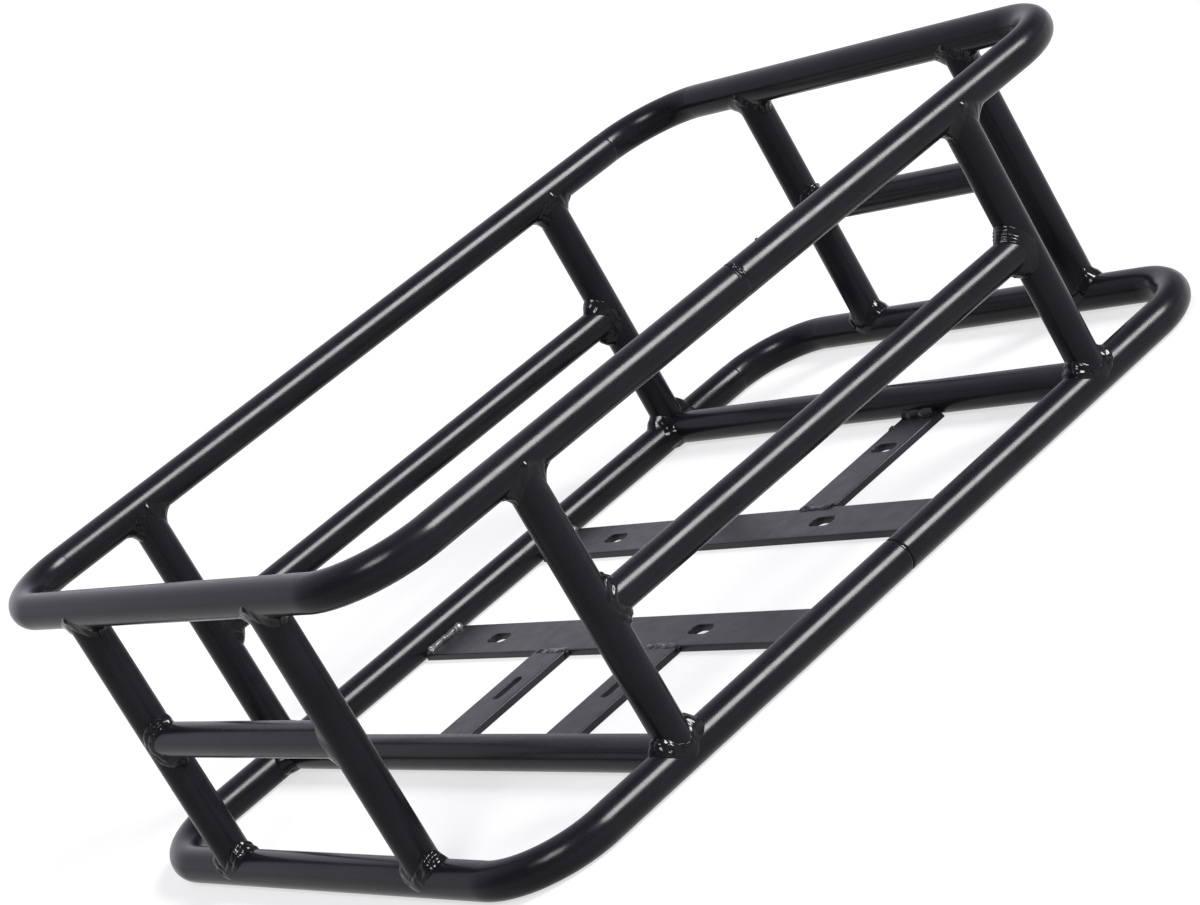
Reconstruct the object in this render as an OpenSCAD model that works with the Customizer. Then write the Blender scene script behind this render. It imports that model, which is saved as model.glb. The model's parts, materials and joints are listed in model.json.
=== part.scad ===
// Cargo basket for a bicycle luggage rack: two bent tube rings, eight posts,
// a rail on each side, and a floor of cross tubes and slotted flat straps.
// Every piece is cut to fit its neighbours and welded; nothing moves.
// X runs across the basket, Y along it (front at -Y), Z up from the surface it stands on.

/* [Basket] */
// Overall length, outside the ring tubes
length = 450; // [420:1:480]
// Overall width, outside the ring tubes
width = 316; // [290:1:340]
// Overall height, outside the ring tubes
height = 150; // [120:1:180]
// Bend radius of the rings, on the tube's centre line
bend_r = 37; // [30:1:50]

/* [Tubes] */
// Diameter of the ring tubes
ring_d = 16; // [15.6:0.1:18]
// Diameter of the posts and the two cross tubes
post_d = 15.5; // [15:0.1:15.5]
// Diameter of the four side rails
rail_d = 15; // [12:0.1:15]
// Wall thickness of every tube
wall = 1.5; // [1:0.1:2]

/* [Stations] */
// Distance of the long sides' posts and the cross tubes from mid length
long_post_y = 134.5; // [120:0.5:145]
// Distance of the short sides' posts from the centre line
short_post_x = 75; // [60:0.5:90]
// Place of the top ring's butt joint along the right-hand side
top_seam_y = -4; // [-20:0.5:20]
// Place of the bottom ring's butt joint along the right-hand side
bottom_seam_y = 0.5; // [-20:0.5:20]

/* [Floor straps] */
// Width of the flat straps
strap_w = 24; // [20:0.5:26]
// Thickness of the flat straps
strap_t = 3.5; // [3:0.1:4]
// Distance of the two cross straps from mid length
cross_strap_y = 40.5; // [35:0.5:50]
// Distance of the lengthwise straps from the centre line
long_strap_x = 41; // [30:0.5:50]

/* [Mounting slots] */
// Width of the bolt slots
slot_w = 7; // [6:0.1:8]
// End-to-end length of the bolt slots
slot_l = 15; // [12:0.1:18]
// Distance between the two slots of a cross strap
cross_slot_spacing = 154; // [140:1:160]
// Offset of the cross straps' slot pair to the left of the centre line
cross_slot_offset = 20; // [0:0.5:24]
// Place along Y of the rear straps' crosswise slots
rear_slot_y = 100.5; // [90:0.5:106]
// Place along Y of the front straps' lengthwise slots, ahead of mid length
front_slot_y = 81; // [74:0.5:100]
// Width of the front straps' slots
front_slot_w = 6; // [5:0.1:7]
// End-to-end length of the front straps' slots
front_slot_l = 17; // [12:0.5:20]

/* [Welds] */
// Leg of the fillet beads around the tube joints
bead_leg = 2.5; // [1.5:0.1:3]
// Radius of the beads along the straps' ends
strap_bead_r = 2.2; // [1.5:0.1:3]
// How far the beads may stand out past the sides of the rings
bead_proud = 1; // [0:0.1:1]
// Root gap at the rings' butt joints
seam_gap = 0.8; // [0.5:0.1:1.5]

/* [Hidden] */
$fn = 64;
ring_r = ring_d / 2;
post_r = post_d / 2;
rail_r = rail_d / 2;
// Half sizes of the rings' centre line, and the heights of the two rings
half_x = width / 2 - ring_r;
half_y = length / 2 - ring_r;
low_z = ring_r;
top_z = height - ring_r;
mid_z = (low_z + top_z) / 2;
// How far a strap's end reaches towards the axis of the tube it is welded to
strap_tuck = 5;
// Lowest height of a post's bead on the ring, measured from the ring's axis
bead_foot = 3.5;
// Recess of the ground weld below the surface of the ring tube
seam_recess = 0.1;
cross_strap_edge = cross_strap_y + strap_w / 2;
tube_black = [0.10, 0.10, 0.11];
strap_black = [0.16, 0.16, 0.17];
weld_black = [0.22, 0.22, 0.23];

// ---------- bars: solid cylinders along an axis, centred at a point ----------

module bar_x(at, r, len) { translate(at) rotate([0, 90, 0]) cylinder(r = r, h = len, center = true); }
module bar_y(at, r, len) { translate(at) rotate([90, 0, 0]) cylinder(r = r, h = len, center = true); }
module bar_z(at, r, len) { translate(at) cylinder(r = r, h = len, center = true); }

// Cutters in the shape of the outside of one ring's sides, and of the posts
module ring_sides_cutter(z) {
    for (side = [-1, 1]) {
        bar_y([side * half_x, 0, z], ring_r, 2 * long_post_y + 60);
        bar_x([0, side * half_y, z], ring_r, 2 * short_post_x + 60);
    }
}
module posts_cutter() {
    for (sx = [-1, 1], sy = [-1, 1]) {
        bar_z([sx * half_x, sy * long_post_y, mid_z], post_r, top_z - low_z);
        bar_z([sx * short_post_x, sy * half_y, mid_z], post_r, top_z - low_z);
    }
}

// ---------- rings ----------

module ring_section() {
    difference() {
        circle(r = ring_r);
        circle(r = ring_r - wall);
    }
}

module ring_straight(from, to) {
    run = to - from;
    translate([from.x, from.y, 0])
        rotate([0, 0, atan2(run.y, run.x)])
            rotate([90, 0, 90])
                linear_extrude(height = norm(run)) ring_section();
}

module ring_bend(corner_x, corner_y, start_angle) {
    translate([corner_x * (half_x - bend_r), corner_y * (half_y - bend_r), 0])
        rotate([0, 0, start_angle])
            rotate_extrude(angle = 90) translate([bend_r, 0]) ring_section();
}

// One tube bent round four corners; its two ends face each other across the seam gap
module bent_ring(z, seam_y) {
    run_x = half_x - bend_r;
    run_y = half_y - bend_r;
    translate([0, 0, z]) {
        ring_straight([half_x, seam_y + seam_gap / 2], [half_x, run_y]);
        ring_bend(1, 1, 0);
        ring_straight([run_x, half_y], [-run_x, half_y]);
        ring_bend(-1, 1, 90);
        ring_straight([-half_x, run_y], [-half_x, -run_y]);
        ring_bend(-1, -1, 180);
        ring_straight([-run_x, -half_y], [run_x, -half_y]);
        ring_bend(1, -1, 270);
        ring_straight([half_x, -run_y], [half_x, seam_y - seam_gap / 2]);
    }
}

module top_ring() { color(tube_black) bent_ring(top_z, top_seam_y); }
module bottom_ring() { color(tube_black) bent_ring(low_z, bottom_seam_y); }

// ---------- posts ----------

// An upright tube whose two ends are coped to the rings
module post(x, y) {
    color(tube_black)
        difference() {
            bar_z([x, y, mid_z], post_r, top_z - low_z);
            bar_z([x, y, mid_z], post_r - wall, height);
            ring_sides_cutter(low_z);
            ring_sides_cutter(top_z);
        }
}

module post_left_front() { post(-half_x, -long_post_y); }
module post_left_rear() { post(-half_x, long_post_y); }
module post_right_front() { post(half_x, -long_post_y); }
module post_right_rear() { post(half_x, long_post_y); }
module post_front_left() { post(-short_post_x, -half_y); }
module post_front_right() { post(short_post_x, -half_y); }
module post_rear_left() { post(-short_post_x, half_y); }
module post_rear_right() { post(short_post_x, half_y); }

// ---------- side rails ----------

// A rail runs between the two posts of its side, half way up
module long_side_rail(side) {
    color(tube_black)
        difference() {
            bar_y([side * half_x, 0, mid_z], rail_r, 2 * long_post_y);
            bar_y([side * half_x, 0, mid_z], rail_r - wall, 2 * long_post_y + 1);
            posts_cutter();
        }
}
module short_side_rail(side) {
    color(tube_black)
        difference() {
            bar_x([0, side * half_y, mid_z], rail_r, 2 * short_post_x);
            bar_x([0, side * half_y, mid_z], rail_r - wall, 2 * short_post_x + 1);
            posts_cutter();
        }
}

module side_rail_left() { long_side_rail(-1); }
module side_rail_right() { long_side_rail(1); }
module side_rail_front() { short_side_rail(-1); }
module side_rail_rear() { short_side_rail(1); }

// ---------- cross tubes ----------

// A cross tube fits between the bottom ring's long sides, beside the feet of the posts
module cross_tube(side) {
    at = [0, side * long_post_y, low_z];
    color(tube_black)
        difference() {
            bar_x(at, post_r, 2 * half_x);
            bar_x(at, post_r - wall, 2 * half_x + 1);
            ring_sides_cutter(low_z);
            posts_cutter();
        }
}

module cross_tube_front() { cross_tube(-1); }
module cross_tube_rear() { cross_tube(1); }

// ---------- floor straps ----------

// A slot with round ends, cut right through a strap; it runs along X, or along Y if turned
module slot_cutter(at, w, l, turned = false) {
    reach = (l - w) / 2;
    translate([at.x, at.y, strap_t / 2])
        rotate([0, 0, turned ? 90 : 0]) {
            cube([2 * reach, w, 2 * strap_t], center = true);
            for (end = [-1, 1])
                translate([end * reach, 0, 0]) cylinder(d = w, h = 2 * strap_t, center = true);
        }
}

module cross_strap(side) {
    reach = half_x - strap_tuck;
    color(strap_black)
        difference() {
            translate([-reach, side * cross_strap_y - strap_w / 2, 0]) cube([2 * reach, strap_w, strap_t]);
            ring_sides_cutter(low_z);
            for (end = [-1, 1])
                slot_cutter([-cross_slot_offset + end * cross_slot_spacing / 2, side * cross_strap_y],
                            slot_w, slot_l);
        }
}

// A lengthwise strap runs from a cross strap's edge to the nearer cross tube
module long_strap(side_x, side_y) {
    outer = long_post_y - strap_tuck;
    run = outer - cross_strap_edge;
    color(strap_black)
        difference() {
            translate([side_x * long_strap_x - strap_w / 2, side_y > 0 ? cross_strap_edge : -outer, 0])
                cube([strap_w, run, strap_t]);
            bar_x([0, side_y * long_post_y, low_z], post_r, 2 * half_x);
            if (side_y > 0) slot_cutter([side_x * long_strap_x, rear_slot_y], slot_w, slot_l);
            else slot_cutter([side_x * long_strap_x, -front_slot_y], front_slot_w, front_slot_l, true);
        }
}

module cross_strap_front() { cross_strap(-1); }
module cross_strap_rear() { cross_strap(1); }
module long_strap_front_left() { long_strap(-1, -1); }
module long_strap_front_right() { long_strap(1, -1); }
module long_strap_rear_left() { long_strap(-1, 1); }
module long_strap_rear_right() { long_strap(1, 1); }

// ---------- welds ----------

// The weld that fills a ring's seam, ground back to just below the tube's surface
module seam_weld(z, seam_y) {
    color(weld_black)
        difference() {
            bar_y([half_x, seam_y, z], ring_r - seam_recess, seam_gap);
            bar_y([half_x, seam_y, z], ring_r - wall, 2 * seam_gap);
        }
}

module weld_top_seam() { seam_weld(top_z, top_seam_y); }
module weld_bottom_seam() { seam_weld(low_z, bottom_seam_y); }

// The beads are flattened on the outside, a little proud of the rings, and level underneath
module within_outline() {
    reach_x = width / 2 + bead_proud;
    reach_y = length / 2 + bead_proud;
    intersection() {
        children();
        translate([-reach_x, -reach_y, 0]) cube([2 * reach_x, 2 * reach_y, height]);
    }
}

module cross_tubes_cutter() {
    for (side = [-1, 1]) bar_x([0, side * long_post_y, low_z], post_r, 2 * half_x);
}

// A fillet bead where a post meets a ring: close to both tubes and outside both.
// up is 1 where the post rises from the ring, and -1 where it hangs from it.
module post_bead(x, y, z, up) {
    bead_h = ring_r + bead_leg - bead_foot;
    difference() {
        intersection() {
            bar_z([x, y, z + up * (bead_foot + bead_h / 2)], post_r + bead_leg, bead_h);
            if (abs(x) > abs(short_post_x)) bar_y([x, y, z], ring_r + bead_leg, 4 * post_d);
            else bar_x([x, y, z], ring_r + bead_leg, 4 * post_d);
        }
        bar_z([x, y, z], post_r, 4 * ring_d);
        ring_sides_cutter(z);
        if (up > 0) cross_tubes_cutter();
    }
}
module post_beads(z, up) {
    color(weld_black)
        within_outline()
            for (sx = [-1, 1], sy = [-1, 1]) {
                post_bead(sx * half_x, sy * long_post_y, z, up);
                post_bead(sx * short_post_x, sy * half_y, z, up);
            }
}

module welds_posts_top() { post_beads(top_z, -1); }
module welds_posts_bottom() { post_beads(low_z, 1); }

// A bead where a rail runs into the side of a post
module rail_bead(post_at, rail_dir) {
    bead_l = post_r + bead_leg - bead_foot;
    centre = post_at + rail_dir * (bead_foot + bead_l / 2);
    difference() {
        intersection() {
            if (abs(rail_dir.x) > 0) bar_x(centre, rail_r + bead_leg, bead_l);
            else bar_y(centre, rail_r + bead_leg, bead_l);
            bar_z(post_at, post_r + bead_leg, 4 * rail_d);
        }
        bar_z(post_at, post_r, 5 * rail_d);
        if (abs(rail_dir.x) > 0) bar_x(post_at, rail_r, 4 * rail_d);
        else bar_y(post_at, rail_r, 4 * rail_d);
    }
}

module welds_side_rails() {
    color(weld_black)
        within_outline()
            for (side = [-1, 1], end = [-1, 1]) {
                rail_bead([side * half_x, end * long_post_y, mid_z], [0, -end, 0]);
                rail_bead([end * short_post_x, side * half_y, mid_z], [-end, 0, 0]);
            }
}

// A bead around the end of a cross tube; the foot of the post covers its top
module cross_tube_bead(side_x, side_y) {
    at = [side_x * half_x, side_y * long_post_y, low_z];
    bead_l = ring_r + bead_leg - bead_foot;
    difference() {
        intersection() {
            bar_x(at - [side_x * (bead_foot + bead_l / 2), 0, 0], post_r + bead_leg, bead_l);
            bar_y(at, ring_r + bead_leg, 4 * post_d);
        }
        bar_x(at, post_r, 4 * post_d);
        bar_y(at, ring_r, 5 * post_d);
        bar_z(at, post_r + bead_leg, 4 * post_d);
    }
}

module welds_cross_tubes() {
    color(weld_black)
        within_outline()
            for (sx = [-1, 1], sy = [-1, 1]) cross_tube_bead(sx, sy);
}

// Beads along a cross strap's two ends, in the corner between its top face and the ring
module welds_cross_straps() {
    corner = sqrt(pow(ring_r, 2) - pow(low_z - strap_t, 2));
    color(weld_black)
        difference() {
            for (sx = [-1, 1], sy = [-1, 1])
                bar_y([sx * (half_x - corner), sy * cross_strap_y, strap_t], strap_bead_r, strap_w);
            ring_sides_cutter(low_z);
            translate([-half_x, -half_y, -1]) cube([2 * half_x, 2 * half_y, strap_t + 1]);
        }
}

// Beads along the lengthwise straps' ends: a low one at the cross strap, one in the
// corner under the cross tube
module welds_long_straps() {
    corner = sqrt(pow(post_r, 2) - pow(low_z - strap_t, 2));
    sink = strap_bead_r / 4;
    color(weld_black)
        difference() {
            for (sx = [-1, 1], sy = [-1, 1]) {
                bar_x([sx * long_strap_x, sy * cross_strap_edge, strap_t - sink], strap_bead_r, strap_w);
                bar_x([sx * long_strap_x, sy * (long_post_y - corner), strap_t], strap_bead_r, strap_w);
            }
            cross_tubes_cutter();
            translate([-half_x, -half_y, -1]) cube([2 * half_x, 2 * half_y, strap_t + 1]);
        }
}

top_ring();
bottom_ring();
post_left_front();
post_left_rear();
post_right_front();
post_right_rear();
post_front_left();
post_front_right();
post_rear_left();
post_rear_right();
side_rail_left();
side_rail_right();
side_rail_front();
side_rail_rear();
cross_tube_front();
cross_tube_rear();
cross_strap_front();
cross_strap_rear();
long_strap_front_left();
long_strap_front_right();
long_strap_rear_left();
long_strap_rear_right();
weld_top_seam();
weld_bottom_seam();
welds_posts_top();
welds_posts_bottom();
welds_side_rails();
welds_cross_tubes();
welds_cross_straps();
welds_long_straps();
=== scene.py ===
"""Looks of the cargo basket: bent and coped steel tube, slotted flat straps and fillet welds,
all under black powder coat, standing on a pale studio floor.

Every piece stands for one node of the CAD model and takes its place and size from that node's
box. Lengths are in metres, and angles in radians unless a name says degrees.
"""

import json
import math
from dataclasses import dataclass

import bmesh
import bpy
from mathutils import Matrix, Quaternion, Vector, noise


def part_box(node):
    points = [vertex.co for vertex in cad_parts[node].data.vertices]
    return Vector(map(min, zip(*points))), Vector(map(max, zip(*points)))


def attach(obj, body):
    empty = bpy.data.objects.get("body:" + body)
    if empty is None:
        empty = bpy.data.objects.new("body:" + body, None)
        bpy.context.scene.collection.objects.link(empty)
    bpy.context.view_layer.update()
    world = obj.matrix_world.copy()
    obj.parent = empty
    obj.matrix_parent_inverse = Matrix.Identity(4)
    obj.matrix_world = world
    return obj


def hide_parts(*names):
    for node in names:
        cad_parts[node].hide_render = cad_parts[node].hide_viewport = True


MM = 0.001
HAIR = 1e-9  # for comparing places

# ---------- the camera, at the photograph's viewing angle ----------
CAMERA_AZIMUTH = 57.90
CAMERA_ELEVATION = 15.84
CAMERA_ROLL = 30.09
CAMERA_DISTANCE = 1.5355
CAMERA_AIM = Vector((-1.4, -3.4, 72.9)) * MM
CAMERA_LENS = 105.98
CAMERA_SENSOR = 36.0

# ---------- lights ----------
KEY_DIRECTION = Vector((0.619, 0.512, 0.596))  # towards the lamp
KEY_DEGREES = 24.0  # how wide the lamp looks from the object
KEY_STRENGTH = 9.0
FRONT_DIRECTION = Vector((0.46, -0.48, 0.75))
FRONT_DEGREES = 20.0
FRONT_STRENGTH = 3.4
SKY_TINT = Vector((0.97, 0.96, 1.09))
HORIZON_LEVEL = 0.60
HORIZON_TOP = 0.10  # height on a unit sphere up to which the horizon's level holds
ZENITH_LEVEL = 0.13
ZENITH_EDGE = 0.55  # and from which the zenith's does
FILL_DIRECTION = Vector((-0.76, -0.05, 0.65))
FILL_LEVEL = 1.0
FILL_EDGE, FILL_CORE = 0.45, 0.95  # cosines of the angles at which the fill begins and is full
FLOOR_TONE = (0.150, 0.149, 0.152)
FLOOR_GLOW = 0.66  # the floor is a lit table, so that shadows on it stay faint
FLOOR_GLOW_COLOUR = (1, 0.99, 1)
FLOOR_REACH = 60
FLOOR_DROP = 0.05 * MM  # below the object's feet

# ---------- how the real thing is made ----------
BEND_RADIUS = 37 * MM  # of the rings, on the tube's centre line
WALL = 1.5 * MM
STRAP_EDGE = 0.55 * MM  # radius of the straps' edges under the coat
SLOT_EDGE = 0.35 * MM
FRONT_SLOT_LENGTH = 17 * MM
FRONT_SLOT_WIDTH = 6 * MM
BEAD_PROUD = 0.95 * MM  # how far a bead may stand out past the tubes' outline

UP = Vector((0, 0, 1))
ALONG = Vector((0, 1, 0))
ACROSS = Vector((1, 0, 0))


# ==================== meshes ====================

MERGE_DISTANCE = 0.001 * MM


def stands_for(piece, node):
    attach(piece, "root")
    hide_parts(node)


class Shell:
    """Points and faces of one mesh, built up from loops and strips."""

    def __init__(self):
        self.points = []
        self.faces = []

    def loop(self, points):
        first = len(self.points)
        self.points.extend(Vector(p) for p in points)
        return list(range(first, len(self.points)))

    def strip(self, one, two, closed=True):
        count = len(one)
        for i in range(count if closed else count - 1):
            j = (i + 1) % count
            self.faces.append((one[i], one[j], two[j], two[i]))

    def skin(self, loops, closed=True, wrapped=False):
        pairs = zip(loops, loops[1:] + loops[:1]) if wrapped else zip(loops, loops[1:])
        for one, two in pairs:
            self.strip(one, two, closed)

    def cap(self, loop):
        self.faces.append(tuple(loop))

    def closed_skin(self, loops):
        self.skin(loops)
        self.cap(loops[0])
        self.cap(loops[-1])

    def piece(self, node, slot, material, crease=None):
        """The finished piece that stands for a CAD node."""
        name = "visible_" + node
        mesh = bpy.data.meshes.new(name)
        mesh.from_pydata(self.points, [], self.faces)
        work = bmesh.new()
        work.from_mesh(mesh)
        bmesh.ops.remove_doubles(work, verts=work.verts, dist=MERGE_DISTANCE)
        bmesh.ops.recalc_face_normals(work, faces=work.faces)
        work.to_mesh(mesh)
        work.free()
        mesh.shade_smooth()
        if crease:
            mesh.set_sharp_from_angle(angle=math.radians(crease))
        mesh.materials.append(material)
        made = bpy.data.objects.new(name, mesh)
        bpy.context.scene.collection.objects.link(made)
        stands_for(made, node)


def bell(x):
    return math.exp(-x * x)


def smooth(x):
    x = min(max(x, 0.0), 1.0)
    return x * x * (3 - 2 * x)


def full_turn(count):
    return [2 * math.pi * k / count for k in range(count)]


def chord_half(radius, height):
    """Half the width of a circle at a height over its centre."""
    return math.sqrt(max(radius ** 2 - height ** 2, 0.0))


# ==================== rings ====================

RING_SIDES = 72  # facets around a ring tube
BEND_STEP = 1.1 * MM  # between a ring's sections
PLAIN_STEP = 6 * MM  # the same on its straights, and on a strap between its slots
LEAST_STEP = 0.08 * MM
# mm from a bend's end and from the seam at which there are more sections
NEAR_BEND_END = (0.4, 0.9, 1.5, 2.2, 3)
NEAR_SEAM = (0, 0.15, 0.35, 0.6, 0.9, 1.2, 1.6, 2, 2.5, 3, 3.6, 4.4, 5.4)

OVAL = 0.30 * MM  # how much narrower the tube is across a bend
WRINKLE = 0.01 * MM  # height of the wrinkles all round a bend
OUTER_WRINKLE = 0.045 * MM  # how much higher they are on its stretched outside
WRINKLE_RATE = 420  # of the noise along the tube, per metre
WRINKLE_ROUND = 3.2  # and round it
CLAMP_STEP = 0.04 * MM  # how far a bend's end steps in where the bender's clamp held it
SLIP_STEP = 0.20 * MM  # the same where the clamp slipped
SLIP_END = 3  # which bend end that is, counted from 0 at the seam
CLAMP_TURN = 2.4  # where round the tube the steps are deepest
CLAMP_RISE, CLAMP_FADE, CLAMP_REACH = 1.5 * MM, 5 * MM, 12 * MM

SEAM_REACH = 6 * MM  # how far from its seam a ring shows it
ROUND_PLACE, ROUND_WIDTH = 0.2 * MM, 0.5 * MM  # where its ends are rounded off
SMUDGE = 0.6 * MM  # height of the weld that was smeared over the tube
SMUDGE_WIDTH = 2.2 * MM
SMUDGE_TURN, SMUDGE_ARC = 1.1, 0.75  # where round the tube it is, and how far it fades out
SMUDGE_RATE, SMUDGE_ROUND = 900, 2.4
SEAM_CUTS = 10  # across the seam's weld
SEAM_ROUND = 3.2  # of the noise round it
SEAM_OVERLAP = 0.5 * MM  # how far the seam's weld reaches under each end of the tube
SEAM_CURVE = 0.12 * MM  # how much lower its sides lie than its middle
SEAM_SWELL = 0.75 * MM  # height of its lumps


class RingPath:
    """The centre line of a ring: a rounded rectangle walked once round from its seam."""

    def __init__(self, half_x, half_y, z, seam_y):
        self.z = z
        run_x, run_y = half_x - BEND_RADIUS, half_y - BEND_RADIUS
        quarter = BEND_RADIUS * math.pi / 2
        # straights: (length, start, heading in degrees, False)
        # bends: (length, centre, the angle at which they begin, True)
        self.parts = [
            (run_y - seam_y, (half_x, seam_y), 90, False),
            (quarter, (run_x, run_y), 0, True),
            (2 * run_x, (run_x, half_y), 180, False),
            (quarter, (-run_x, run_y), 90, True),
            (2 * run_y, (-half_x, run_y), 270, False),
            (quarter, (-run_x, -run_y), 180, True),
            (2 * run_x, (-run_x, -half_y), 0, False),
            (quarter, (run_x, -run_y), 270, True),
            (run_y + seam_y, (half_x, -run_y), 90, False),
        ]
        self.length = sum(p[0] for p in self.parts)
        self.bend_ends = []
        at = 0.0
        for length, _, _, turns in self.parts:
            if turns:
                self.bend_ends += [at, at + length]
            at += length

    def at(self, s):
        """Point on the centre line, outward normal, and how deep into a bend it is (0 to 1)."""
        s = min(max(s, 0.0), self.length)
        for length, place, degrees, turns in self.parts:
            if s <= length + HAIR:
                break
            s -= length
        place = Vector((*place, self.z))
        angle = math.radians(degrees)
        if turns:
            angle += s / BEND_RADIUS
            normal = Vector((math.cos(angle), math.sin(angle), 0))
            depth = smooth(min(s, length - s) / (0.3 * length))
            return place + normal * BEND_RADIUS, normal, depth
        way = Vector((math.cos(angle), math.sin(angle), 0))
        return place + way * s, Vector((way.y, -way.x, 0)), 0.0

    def stations(self, end_gap):
        """Places along the path: coarse on the straights, fine in the bends and at the seam."""
        places = []
        at = 0.0
        for length, _, _, turns in self.parts:
            step = BEND_STEP if turns else PLAIN_STEP
            count = max(2, round(length / step))
            places += [at + length * k / count for k in range(count)]
            at += length
        for mark in self.bend_ends:
            places += [mark + sign * d * MM for d in NEAR_BEND_END for sign in (-1, 1)]
        places += [end_gap + d * MM for d in NEAR_SEAM]
        places += [self.length - end_gap - d * MM for d in NEAR_SEAM]
        lo, hi = end_gap, self.length - end_gap
        places = sorted(p for p in places if lo - HAIR <= p <= hi + HAIR)
        kept = [places[0]]
        for p in places[1:]:
            if p - kept[-1] > LEAST_STEP:
                kept.append(p)
        return kept


@dataclass
class Seam:
    """The butt joint of a ring."""
    gap: float  # between the tube's ends
    rounding: float  # how far those are rounded off
    sunk: float  # how far the weld lies below them
    rough: float  # how rough the part of it is that the grinder left
    seed: float

    def left_over(self, turn):
        """How rough it is here. It is rough on the outside, from the top to half way down."""
        away = abs(math.remainder(turn - SMUDGE_TURN, 2 * math.pi))
        return self.rough * smooth(1.5 - away / SMUDGE_ARC)


def ring_radius(path, s, turn, depth, radius, seam):
    """Radius of the tube at a station: slightly oval and wrinkled in the bends, stepping in
    where the bending die held it, and rounded over at the seam."""
    r = radius
    if depth > 0:
        sideways, upwards = math.cos(turn), math.sin(turn)
        r -= depth * OVAL * sideways * sideways
        stretched = smooth(0.5 + sideways)
        wrinkle = noise.noise(
            (s * WRINKLE_RATE, WRINKLE_ROUND * sideways + seam.seed, WRINKLE_ROUND * upwards))
        r += depth * (WRINKLE + OUTER_WRINKLE * stretched) * wrinkle
    for k, mark in enumerate(path.bend_ends):
        into_bend = mark - s if k % 2 else s - mark
        if abs(into_bend) < CLAMP_REACH:
            step = SLIP_STEP if k == SLIP_END else CLAMP_STEP
            step *= smooth(into_bend / CLAMP_RISE + 0.5) * bell(into_bend / CLAMP_FADE)
            r -= step * (0.5 + 0.5 * math.cos(turn - CLAMP_TURN))
    from_end = min(s, path.length - s)
    if from_end < SEAM_REACH:
        r -= seam.rounding * bell((from_end - ROUND_PLACE) / ROUND_WIDTH)
        rough = noise.noise((s * SMUDGE_RATE, turn * SMUDGE_ROUND, seam.seed))
        r += seam.left_over(turn) * (rough - 0.1) * SMUDGE * bell(from_end / SMUDGE_WIDTH)
    return r


def bent_ring(node, path, radius, seam, material):
    """The bent tube itself, hollow, with a face at each side of the seam."""
    shell = Shell()
    outer, inner = [], []
    for s in path.stations(seam.gap / 2):
        centre, normal, depth = path.at(s)
        rays = [(t, normal * math.cos(t) + UP * math.sin(t)) for t in full_turn(RING_SIDES)]
        outer.append(shell.loop(
            centre + ray * ring_radius(path, s, t, depth, radius, seam) for t, ray in rays))
        inner.append(shell.loop(centre + ray * (radius - WALL) for _, ray in rays))
    shell.skin(outer + inner[::-1], wrapped=True)
    shell.piece(node, "ring_tube", material, crease=50)


def seam_weld(node, centre, radius, seam, material):
    """The butt weld round a ring's seam, ground level with the tube or a little below it."""
    shell = Shell()
    half_width = seam.gap / 2 + SEAM_OVERLAP

    def place(turn, height, shift):
        return centre + (ACROSS * math.cos(turn) + UP * math.sin(turn)) * height + ALONG * shift

    hoops = []
    for k in range(SEAM_CUTS + 1):
        u = 2 * k / SEAM_CUTS - 1
        hoop = []
        for turn in full_turn(RING_SIDES):
            across, up = SEAM_ROUND * math.cos(turn), SEAM_ROUND * math.sin(turn)
            lump = noise.noise((across, up + u / 2, seam.seed))
            swell = seam.left_over(turn) * (0.1 + 1.8 * lump) * SEAM_SWELL * (1 - u * u)
            height = radius - seam.sunk - SEAM_CURVE * u * u + swell
            hoop.append(place(turn, height, half_width * (u + 0.25 * lump)))
        hoops.append(shell.loop(hoop))
    for u in (0.9, -0.9):
        hoops.append(shell.loop(
            place(turn, radius - WALL, half_width * u) for turn in full_turn(RING_SIDES)))
    shell.skin(hoops, wrapped=True)
    shell.piece(node, "weld", material)


SEAMS = {
    "top": Seam(gap=1.0 * MM, rounding=0.14 * MM, sunk=0.06 * MM, rough=1.3, seed=3.0),
    "bottom": Seam(gap=0.7 * MM, rounding=0.32 * MM, sunk=0.55 * MM, rough=0.0, seed=8.0),
}


# ==================== coped tubes ====================

TUBE_SIDES = 64  # facets around a coped tube
TUBE_ROWS = 12
COPE_SINK = 0.15 * MM  # how far a coped end reaches into its host


class Branch:
    """A straight tube whose two ends are cut to fit round the tubes that it meets.

    start and end are on the axes of those hosts, which run along host_way."""

    def __init__(self, start, end, radius, host_radius, host_way):
        self.start, self.end = Vector(start), Vector(end)
        self.radius, self.host_radius = radius, host_radius
        self.host_way = host_way
        self.way = (self.end - self.start).normalized()
        self.side = self.way.cross(host_way)

    def radial(self, turn):
        return self.side * math.cos(turn) + self.host_way * math.sin(turn)

    def reach(self, turn, radius):
        """Distance from a host's axis at which the cope lies, for a point of the tube's wall."""
        off = radius * math.cos(turn)
        return math.sqrt(max(self.host_radius ** 2 - off ** 2, 0.0))


def coped_tube(node, branch, material):
    """A branch's tube, hollow, with its coped ends."""
    shell = Shell()
    skins = []
    for radius in (branch.radius, branch.radius - WALL):
        loops = []
        for row in range(TUBE_ROWS + 1):
            loop = []
            for turn in full_turn(TUBE_SIDES):
                reach = branch.reach(turn, radius) - COPE_SINK
                from_point = branch.start + branch.way * reach
                to_point = branch.end - branch.way * reach
                axis_point = from_point.lerp(to_point, row / TUBE_ROWS)
                loop.append(axis_point + branch.radial(turn) * radius)
            loops.append(shell.loop(loop))
        skins.append(loops)
    shell.skin(skins[0] + skins[1][::-1], wrapped=True)
    shell.piece(node, "frame_tube", material, crease=40)


# ==================== welds ====================

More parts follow.
